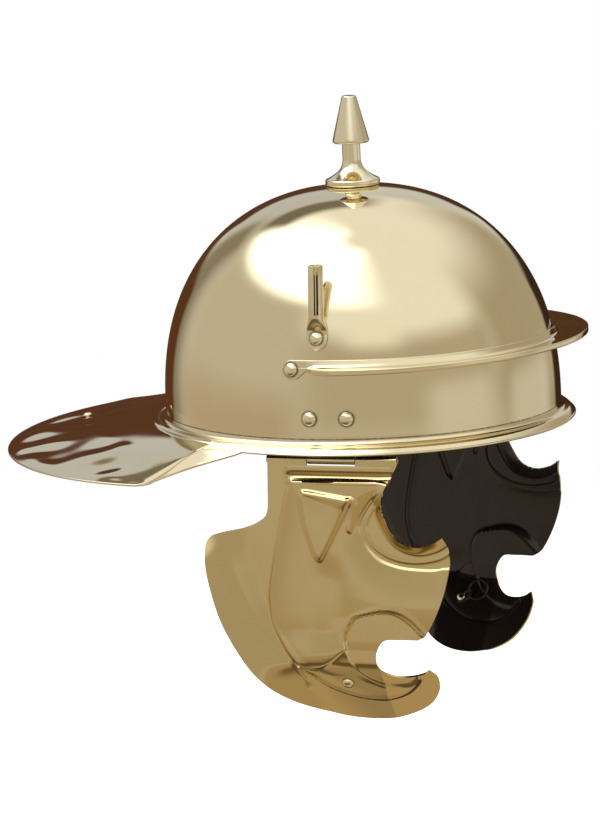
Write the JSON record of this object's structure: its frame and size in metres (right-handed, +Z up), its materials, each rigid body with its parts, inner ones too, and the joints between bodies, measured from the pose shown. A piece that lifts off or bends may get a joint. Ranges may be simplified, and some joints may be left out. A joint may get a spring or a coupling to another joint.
{
  "type": "roman legionary helmet",
  "caption": "Polished brass legionary helmet with sloped neck guard, brow guard, spike crest knob, plume tubes and embossed hinged cheek guards.",
  "frame": {"origin": "middle of the bowl mouth, in the plane of the rim, where the helmet sits on a head", "axes": "+Z up through the crest knob, -Y the way the wearer looks, +X the wearer left"},
  "size_m": [0.2858, 0.3341, 0.3331],
  "materials": {
    "bowl_brass": "mirror polished pale brass",
    "guard_brass": "mirror polished golden brass, black lacquer inside",
    "fitting_brass": "polished pale brass",
    "black_lacquer": "brass wire and strip under black lacquer"
  },
  "bodies": {
    "helmet": {"bowl": "bowl_brass", "brow_guard": "bowl_brass", "crest_knob": "fitting_brass", "neck_rivet": "fitting_brass", "plume_tube_right": "bowl_brass", "plume_rivet_right": "fitting_brass", "brow_rivet_right": "fitting_brass", "hinge_rivet_rear_right": "fitting_brass", "hinge_rivet_front_right": "fitting_brass", "hinge_plate_right": "bowl_brass", "hinge_pin_right": "fitting_brass", "plume_tube_left": "bowl_brass", "plume_rivet_left": "fitting_brass", "brow_rivet_left": "fitting_brass", "hinge_rivet_rear_left": "fitting_brass", "hinge_rivet_front_left": "fitting_brass", "hinge_plate_left": "bowl_brass", "hinge_pin_left": "fitting_brass"},
    "right_guard": {"cheek_guard_right": "guard_brass", "tie_rivet_right": "fitting_brass", "tie_strap_right": "black_lacquer", "tie_ring_right": "black_lacquer"},
    "left_guard": {"cheek_guard_left": "guard_brass", "tie_rivet_left": "fitting_brass", "tie_strap_left": "black_lacquer", "tie_ring_left": "black_lacquer"}
  },
  "joints": [
    {"name": "right_cheek_hinge", "type": "hinge", "parent": "helmet", "child": "right_guard", "pos_m": [-0.0965, -0.0206, -0.0085], "axis": [-0.0872, 0.9962, 0], "range_deg": [-15, 80]},
    {"name": "left_cheek_hinge", "type": "hinge", "parent": "helmet", "child": "left_guard", "pos_m": [0.0965, -0.0206, -0.0085], "axis": [-0.0872, -0.9962, 0], "range_deg": [-15, 80]}
  ]
}
